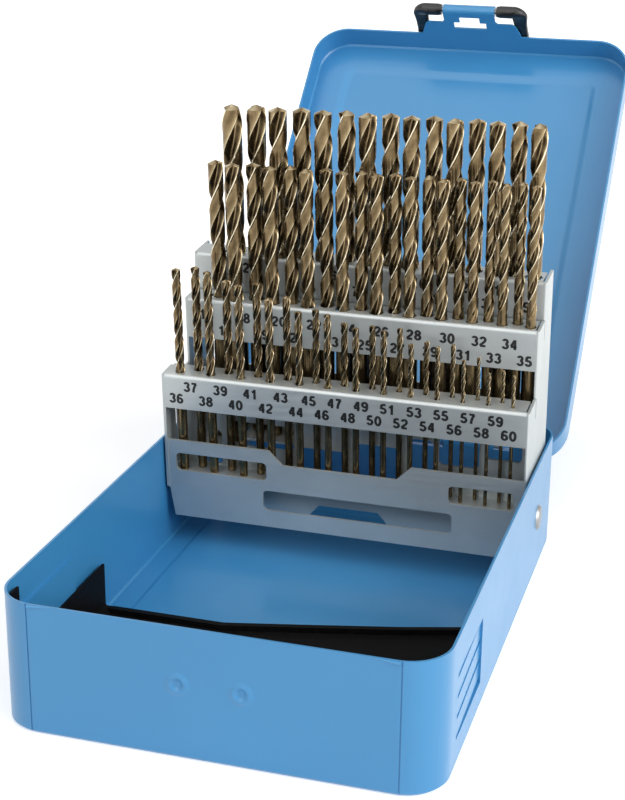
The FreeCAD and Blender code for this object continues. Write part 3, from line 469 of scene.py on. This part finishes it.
def drillSurface(number, phase):
    # the two-flute section turns in proportion to height and fades to a plain round shank below the
    # flutes; over the point the radius is the lesser of the section's and the cone's
    diameter, overall, flute = sizesOf(number)
    radius = diameter / 2
    point = radius * drills["pointRatio"]
    across, back = holeOf(number)
    foot = footOf(number) + drills["rest"]
    plain = overall - flute
    fluteRows = int(np.clip(flute / diameter * drills["rowsPerDiameter"], *drills["rowLimits"]))
    footShare, footRise = drills["foot"]
    shankStart, shankEnd, shankCount = drills["shankRings"]
    coneStart, coneCount = drills["coneRings"]
    cone = np.linspace(coneStart, 0, coneCount)
    heights = np.concatenate([[0, 0, footRise],
                              np.linspace(shankStart, plain - shankEnd * diameter, shankCount),
                              np.linspace(plain - diameter, overall - point, fluteRows),
                              overall - point * cone])
    limit = np.ones(len(heights))
    limit[0], limit[1] = 0.0, footShare
    limit[-len(cone):] = cone
    half = np.array(drills["section"])
    local = np.concatenate([half[:, 0], half[:, 0] + math.pi])
    share = np.tile(half[:, 1], 2)
    oxideAndSheen = np.tile(half[:, 2], 2)
    turned = np.maximum(heights - plain, -diameter)
    turn = 2 * math.pi * drills["turnPerDiameter"] * turned / diameter + phase
    depth = np.clip((heights - plain) / (drills["fade"] * diameter), 0, 1)[:, None]
    ring = radius * np.minimum(1 - depth * (1 - share), limit[:, None])
    angle = local[None, :] + turn[:, None]
    x = across + ring * np.cos(angle)
    y = back + ring * np.sin(angle)
    z = np.repeat((foot + heights)[:, None], len(local), axis=1)
    # colour brightness: the shank's tone, fading into the section's oxide, painted shade and painted
    # highlights
    shine = drills["shankPolish"] + depth * (oxideAndSheen - drills["shankPolish"])
    mean, swing, middle = drills["flankPolish"]
    shine[-len(cone):] = mean + swing * np.cos(2 * (local[None, :] - middle))
    return np.stack([x, y, z], axis=-1), shine


def gridFaces(rows, columns, offset):
    # quads of a grid that closes on itself sideways
    low = np.arange(rows - 1)[:, None] * columns
    here = np.arange(columns)[None, :]
    after = (here + 1) % columns
    quads = np.stack([low + here, low + after, low + columns + after, low + columns + here], axis=-1)
    return quads.reshape(-1, 4) + offset


def mergedDoubles(obj, distance):
    work = bmesh.new()
    work.from_mesh(obj.data)
    bmesh.ops.remove_doubles(work, verts=work.verts, dist=distance)
    bmesh.ops.recalc_face_normals(work, faces=work.faces)
    work.to_mesh(obj.data)
    work.free()
    return obj


def makeDrills(node, first, last):
    points, faces, shines, offset = [], [], [], 0
    for number in range(first, last + 1):
        phase = (number * drills["phaseStep"]) % (2 * math.pi)
        surface, shine = drillSurface(number, phase)
        rows, columns = surface.shape[:2]
        points.append(surface.reshape(-1, 3))
        shines.append(shine.ravel())
        faces.append(gridFaces(rows, columns, offset))
        offset += rows * columns
    piece = newMesh(node + ".twist", toObject(np.concatenate(points)), np.concatenate(faces))
    # each point's colour brightness: oxide, painted shade in the flutes and painted highlights
    oxideAndSheen = piece.data.attributes.new("oxideAndSheen", "FLOAT", "POINT")
    oxideAndSheen.data.foreach_set("value", np.concatenate(shines).astype(np.float32))
    mergedDoubles(piece, 1e-7)
    piece.data.set_sharp_from_angle(angle=math.radians(38))
    piece.data.materials.append(finish["bronze_steel"])
    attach(piece, node)
    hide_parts(node)


for number in range(1, 16):
    makeDrills("drill_%02d" % number, number, number)
starts = [16] + [last + 1 for last in drills["lengths"] if 17 <= last < 60]
ends = [last for last in drills["lengths"] if last >= 17]
for first, last in zip(starts, ends):
    makeDrills("drills_%02d_to_%02d" % (first, last), first, last)
print("drills twisted")

# printed numbers: height of a digit, then shares of it; how far a label may lie from its hole

numbers = {
    "tall": 3.05, "stroke": 0.225, "step": 0.665, "width": 0.58, "widen": 1.14, "proud": 0.02, "reach": 2.6,
    # drop below the plate's top for odd and even numbers; known numbers and their places along X
    "rows": {"front": (3.35, 7.3, (36, 44, 60), (-49.9, -13.2, 48.6)),
             "middle": (9.1, 4.5, (16, 21, 26, 31, 35), (-46.3, -17.4, 9.1, 33.0, 50.3)),
             "back": (7.7, 3.45, (1, 5, 8, 15), (-42.4, -15.4, 5.16, 47.5))},
}


def arc(x, y, wide, high, start, end, count=22):
    # points of an ellipse about (x, y), from one angle to another in degrees
    angle = np.radians(np.linspace(start, end, count))
    return np.stack([x + wide * np.cos(angle), y + high * np.sin(angle)], axis=-1)


def digitStrokes():
    # centre lines of each digit in a box 0.58 wide and 1 tall; the stroke adds its half on every side
    line = np.array
    curve = np.concatenate
    six = [arc(0.29, 0.31, 0.195, 0.225, 0, 360, 30), arc(0.305, 0.50, 0.21, 0.415, 182, 40)]
    return {
        "0": [arc(0.29, 0.50, 0.20, 0.415, 0, 360, 36)],
        "1": [line([(0.345, 0.0), (0.345, 1.0)]), line([(0.345, 0.86), (0.25, 0.76), (0.10, 0.735)])],
        "2": [curve([arc(0.29, 0.70, 0.19, 0.215, 172, -28), [(0.40, 0.50), (0.12, 0.21), (0.10, 0.085)]]),
              line([(0.06, 0.085), (0.51, 0.085)])],
        "3": [arc(0.285, 0.725, 0.17, 0.19, 165, -92), arc(0.285, 0.295, 0.195, 0.21, 92, -168)],
        "4": [line([(0.405, 0.0), (0.405, 0.96)]), line([(0.37, 0.92), (0.085, 0.32)]),
              line([(0.045, 0.285), (0.54, 0.285)])],
        "5": [line([(0.49, 0.915), (0.15, 0.915)]), line([(0.165, 0.94), (0.115, 0.47)]),
              arc(0.28, 0.315, 0.20, 0.23, 128, -165)],
        "6": six,
        "7": [line([(0.06, 0.915), (0.50, 0.915)]),
              line([(0.47, 0.90), (0.36, 0.70), (0.285, 0.48), (0.235, 0.24), (0.22, 0.0)])],
        "8": [arc(0.29, 0.735, 0.165, 0.18, 0, 360, 28), arc(0.29, 0.295, 0.195, 0.21, 0, 360, 30)],
        "9": [line((0.58, 1.0)) - stroke for stroke in six],
    }


def ribbon(path, half):
    # a flat band along a path: each point moves half the width to both sides of the mean direction
    ahead = np.diff(path, axis=0)
    ahead /= np.linalg.norm(ahead, axis=1)[:, None]
    mean = np.concatenate([ahead[:1], ahead[:-1] + ahead[1:], ahead[-1:]])
    if np.allclose(path[0], path[-1]):
        mean[0] = mean[-1] = ahead[0] + ahead[-1]
    mean /= np.linalg.norm(mean, axis=1)[:, None]
    side = half * np.stack([-mean[:, 1], mean[:, 0]], axis=-1)
    count = len(path)
    rows = np.arange(count - 1)
    faces = np.stack([rows, rows + 1, rows + 1 + count, rows + count], axis=-1)
    return np.concatenate([path + side, path - side]), faces


def printedNumbers(name, row, face, top):
    # digits stand upright against the shelf's front face, one line for odd and one for even numbers
    strokes = digitStrokes()
    tall, step = numbers["tall"], numbers["step"]
    oddDrop, evenDrop, known, places = numbers["rows"][row]
    points, faces, offset = [], [], 0
    first, last = drills["rows"][row][:2]
    for number in range(first, last + 1):
        label = str(number)
        drop = oddDrop if number % 2 else evenDrop
        hole = holeOf(number)[0]
        aside = np.interp(number, known, places) - hole
        middle = hole + np.clip(aside, -numbers["reach"], numbers["reach"])
        start = -(step * (len(label) - 1) + numbers["width"]) / 2
        for place, digit in enumerate(label):
            for stroke in strokes[digit]:
                flat, band = ribbon(stroke, numbers["stroke"] / 2)
                flat = flat + (start + place * step, -0.5)
                across = middle + flat[:, 0] * tall * numbers["widen"]
                back = np.full(len(flat), face - numbers["proud"])
                points.append(np.stack([across, back, flat[:, 1] * tall + top - drop], axis=-1))
                faces.append(band + offset)
                offset += len(flat)
    piece = newMesh(name, toObject(np.concatenate(points)), np.concatenate(faces)[:, ::-1], smooth=False)
    piece.data.materials.append(ink)
    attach(piece, "rack")
    return piece


printedNumbers("frontNumbers", "front", rack["frontFace"], rack["frontTop"])
printedNumbers("middleNumbers", "middle", rack["middleFace"], rack["middleTop"])
printedNumbers("backNumbers", "back", rack["backFace"], rack["backTop"])
print("numbers printed")

# pressed panels of the lid and of the tray's floor

panels = {
    # limits of the rectangle, its corner radius, start and width of the slope, rise, margin, level of
    # the sheet, and how far the margin's edge sinks into it
    "lid": {"x": (-47.65, 47.65), "y": (-71.0, 71.0), "corner": 6.5, "start": 1.1, "slope": 3.3,
            "rise": 1.0, "margin": 1.4, "level": 35.375, "sink": 0.06},
    "floor": {"x": (-48.4, 48.4), "y": (-69.0, 70.0), "corner": 6.0, "start": 0.0, "slope": 1.4,
              "rise": 0.35, "margin": 1.0, "level": 0.62, "sink": -0.05},
    "flat": 1.5, "edgeLines": 26, "fieldLines": 12, "thickness": 0.02,
}
lid = {"hingeBack": 80.5, "hingeUp": 25.0, "open": 136.4}


def toOpenLid(points):
    # closed-lid millimetres to object metres: turned about the hinge's line by the opening angle
    turn = -math.radians(lid["open"])
    points = np.asarray(points, dtype=float)
    back = points[..., 1] - lid["hingeBack"]
    up = points[..., 2] - lid["hingeUp"]
    turned = points.copy()
    turned[..., 1] = lid["hingeBack"] + back * math.cos(turn) - up * math.sin(turn)
    turned[..., 2] = lid["hingeUp"] + back * math.sin(turn) + up * math.cos(turn)
    return turned * mm


def pressedPanel(shape):
    # height = level + rise times a smooth step of the distance inside a rectangle with round corners;
    # outside it the border sinks evenly into the sheet
    margin, band = shape["margin"], shape["start"] + shape["slope"] + panels["flat"]
    edge = np.linspace(-margin, band, panels["edgeLines"])

    def lines(low, high):
        field = np.linspace(low + band, high - band, panels["fieldLines"])[1:-1]
        return np.concatenate([low + edge, field, (high - edge)[::-1]])

    x, y = np.meshgrid(lines(*shape["x"]), lines(*shape["y"]))
    middle = [sum(shape[axis]) / 2 for axis in "xy"]
    half = [(shape[axis][1] - shape[axis][0]) / 2 for axis in "xy"]
    corner = shape["corner"]
    overX = np.abs(x - middle[0]) - half[0] + corner
    overY = np.abs(y - middle[1]) - half[1] + corner
    outside = np.hypot(np.maximum(overX, 0), np.maximum(overY, 0))
    outside = outside + np.minimum(np.maximum(overX, overY), 0) - corner
    share = np.clip((-outside - shape["start"]) / shape["slope"], 0, 1)
    z = shape["level"] + shape["rise"] * share ** 2 * (3 - 2 * share)
    border = np.maximum(np.abs(x - middle[0]) - half[0], np.abs(y - middle[1]) - half[1])
    z = z + shape["sink"] * np.clip(border / margin, 0, 1)
    rows, columns = x.shape
    low = np.arange(rows - 1)[:, None] * columns + np.arange(columns - 1)[None, :]
    faces = np.stack([low, low + 1, low + columns + 1, low + columns], axis=-1).reshape(-1, 4)
    return np.stack([x, y, z], axis=-1).reshape(-1, 3), faces


def thinned(piece):
    # gives a surface a hair of thickness behind it, so that it is closed
    wall = piece.modifiers.new("wall", "SOLIDIFY")
    wall.thickness = panels["thickness"] * mm
    wall.offset = -1
    return piece


points, faces = pressedPanel(panels["lid"])
lidPanel = thinned(newMesh("lidPanel", toOpenLid(points), faces[:, ::-1]))
points, faces = pressedPanel(panels["floor"])
floorPanel = thinned(newMesh("floorPanel", points * mm, faces))
for piece, body in ((lidPanel, "lid"), (floorPanel, "base")):
    piece.data.materials.append(finish["blue_paint"])
    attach(piece, body)
print("panels pressed")

# two round dimples in the front wall

dimple = {"across": 7.9, "up": 20.0, "face": -79.0, "radius": 3.4, "flat": 0.6, "lip": 1.95,
          "deep": 0.33, "proud": 0.36, "clear": 0.01, "ringGap": 0.15}


def dimpleSurface(side):
    # depth is a smooth step from the flat to the lip; the lip stands proud and fades out to the wall
    rings = np.concatenate([np.linspace(0, dimple["lip"], 12),
                            np.linspace(dimple["lip"] + dimple["ringGap"], dimple["radius"], 10)])
    angle = np.linspace(0, 2 * math.pi, 48, endpoint=False)
    fall = np.clip((dimple["lip"] - rings) / (dimple["lip"] - dimple["flat"]), 0, 1)
    inner = fall ** 2 * (3 - 2 * fall)
    outer = np.clip((dimple["radius"] - rings) / (dimple["radius"] - dimple["lip"]), 0, 1)
    height = dimple["clear"] + dimple["proud"] * outer ** 2 * (3 - 2 * outer)
    height = height - (dimple["deep"] + dimple["proud"]) * inner
    x = side * dimple["across"] + rings[:, None] * np.cos(angle)
    z = dimple["up"] + rings[:, None] * np.sin(angle)
    y = np.repeat((dimple["face"] - height)[:, None], len(angle), axis=1)
    return np.stack([x, y, z], axis=-1)


for side, hand in ((-1, "Left"), (1, "Right")):
    surface = dimpleSurface(side)
    rows, columns = surface.shape[:2]
    piece = newMesh("frontDimple" + hand, surface.reshape(-1, 3) * mm, gridFaces(rows, columns, 0))
    mergedDoubles(piece, 1e-7)
    piece.data.materials.append(finish["blue_paint"])
    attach(piece, "base")
print("dimples pressed")

# the finger latch, drawn on the closed lid: two barrels flow round into arms that carry the finger plate

latch = {
    "back": -81.3, "up": 15.3, "barrel": 2.05, "inner": 10.1, "turnStart": 15.4, "turn": 2.3,
    "armHalf": (2.3, 1.1), "armBack": -81.5, "armEnd": 28.0, "square": 3.6,
    # the elbow's extra half width, its height above the barrel and its spread; the barrel's worn end
    "elbow": (0.45, 2.6, 1.9), "endShare": 0.86, "endOut": 0.3,
    "plate": {"half": 20.0, "low": 26.0, "top": 36.4, "thick": 2.2, "corner": 3.2,
              "square": 4.5, "endShare": 0.7},
}


def loft(centres, firsts, seconds, halves, powers, around=40):
    # rings of a superellipse: centre + a signed power of cosine and of sine along two directions
    angle = np.linspace(0, 2 * math.pi, around, endpoint=False)
    sine, cosine = np.sin(angle), np.cos(angle)
    power = (2 / np.asarray(powers, dtype=float))[:, None]
    along = np.sign(cosine) * np.abs(cosine) ** power * np.asarray(halves)[:, :1]
    aside = np.sign(sine) * np.abs(sine) ** power * np.asarray(halves)[:, 1:]
    rings = (np.asarray(centres)[:, None, :] + along[..., None] * np.asarray(firsts)[:, None, :]
             + aside[..., None] * np.asarray(seconds)[:, None, :])
    ends = [np.repeat(rings[k].mean(axis=0)[None, None], around, axis=1) for k in (0, -1)]
    rings = np.concatenate([ends[0], rings, ends[1]])
    return rings.reshape(-1, 3), gridFaces(len(rings), around, 0)


def latchArm(side):
    # straight along the pin, a quarter turn, then straight up to the finger plate
    straight = np.linspace(latch["inner"], latch["turnStart"], 6)
    bend = np.radians(np.linspace(0, 90, 12))[1:]
    radius = latch["turn"]
    rise = np.linspace(latch["up"] + radius, latch["armEnd"], 6)[1:]
    x = np.concatenate([straight, latch["turnStart"] + radius * np.sin(bend),
                        np.full(len(rise), latch["turnStart"] + radius)])
    z = np.concatenate([np.full(len(straight), latch["up"]),
                        latch["up"] + radius * (1 - np.cos(bend)), rise])
    share = np.concatenate([np.zeros(len(straight)), bend / bend[-1], np.ones(len(rise))])
    heading = share * math.pi / 2
    y = latch["back"] + (latch["armBack"] - latch["back"]) * share
    swell, middle, spread = latch["elbow"]
    inPlane = latch["barrel"] + (latch["armHalf"][0] - latch["barrel"]) * share
    inPlane = inPlane + swell * np.exp(-((z - latch["up"] - middle) / spread) ** 2)
    deep = latch["barrel"] + (latch["armHalf"][1] - latch["barrel"]) * share
    trim = np.ones(len(x))
    trim[0] = latch["endShare"]
    centres = np.stack([side * x, y, z], axis=-1)
    centres[0, 0] -= side * latch["endOut"]
    firsts = np.stack([-side * np.sin(heading), np.zeros(len(x)), np.cos(heading)], axis=-1)
    seconds = np.repeat([[0.0, 1.0, 0.0]], len(x), axis=0)
    powers = 2 + (latch["square"] - 2) * share
    return loft(centres, firsts, seconds, np.stack([inPlane * trim, deep * trim], axis=-1), powers)


def fingerPlate():
    # a rounded bar along X whose height drops to a round corner at both ends
    plate = latch["plate"]
    corner = plate["corner"]
    ease = 0.5 * (1 - np.cos(np.linspace(0, math.pi / 2, 9)))
    x = plate["half"] * np.concatenate([ease - 1, np.linspace(-0.45, 0.45, 5), 1 - ease[::-1]])
    over = np.clip(np.abs(x) - (plate["half"] - corner), 0, corner)
    drop = corner - np.sqrt(np.maximum(corner ** 2 - over ** 2, 0))
    top = plate["top"] - drop
    centres = np.stack([x, np.full(len(x), latch["armBack"]), (top + plate["low"]) / 2], axis=-1)
    halves = np.stack([(top - plate["low"]) / 2, np.full(len(x), plate["thick"] / 2)], axis=-1)
    halves[[0, -1], 1] *= plate["endShare"]
    up, back = np.repeat([[0.0, 0.0, 1.0]], len(x), axis=0), np.repeat([[0.0, 1.0, 0.0]], len(x), axis=0)
    return loft(centres, up, back, halves, np.full(len(x), plate["square"]))


def makeLatch():
    points, faces, offset = [], [], 0
    for part in (latchArm(-1), latchArm(1), fingerPlate()):
        points.append(part[0])
        faces.append(part[1] + offset)
        offset += len(part[0])
    piece = newMesh("latchMoulding", toOpenLid(np.concatenate(points)), np.concatenate(faces))
    mergedDoubles(piece, 1e-7)
    piece.data.set_sharp_from_angle(angle=math.radians(50))
    piece.data.materials.append(finish["black_gloss"])
    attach(piece, "latch")
    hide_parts("latch_lever")


makeLatch()
print("latch moulded")

# small closings: the rolled hem beside both seams of the front wall, the foot of the tip stop's left fin

closings = {
    # x, y and z of both ends, half height and half depth at both ends, exponent, finish
    "hemRollLeft": ((-45.6, -79.05, 34.42), (-39.4, -78.95, 34.86), (0.52, 0.48), (0.1, 0.1), 2.2,
                    "blue_paint"),
    "hemRollRight": ((45.6, -79.05, 34.42), (39.0, -78.95, 34.86), (0.52, 0.48), (0.1, 0.1), 2.2,
                     "blue_paint"),
    "finFoot": ((-54.0, -16.9, 1.8), (-51.2, -16.9, 1.8), (1.2, 0.9), (1.2, 0.9), 9, "black_liner"),
}


def makeClosing(name, start, end, startHalf, endHalf, power, material):
    # an even run of superellipse rings from one end to the other
    count = 8
    share = np.linspace(0, 1, count)[:, None]
    centres = np.array(start) * (1 - share) + np.array(end) * share
    halves = np.array(startHalf) * (1 - share) + np.array(endHalf) * share
    up, back = np.repeat([[0.0, 0.0, 1.0]], count, axis=0), np.repeat([[0.0, 1.0, 0.0]], count, axis=0)
    points, faces = loft(centres, up, back, halves, np.full(count, power))
    piece = newMesh(name, points * mm, faces)
    mergedDoubles(piece, 1e-7)
    piece.data.set_sharp_from_angle(angle=math.radians(40))
    piece.data.materials.append(finish[material])
    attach(piece, "base")


for name, values in closings.items():
    makeClosing(name, *values)
print("hems and fin closed")
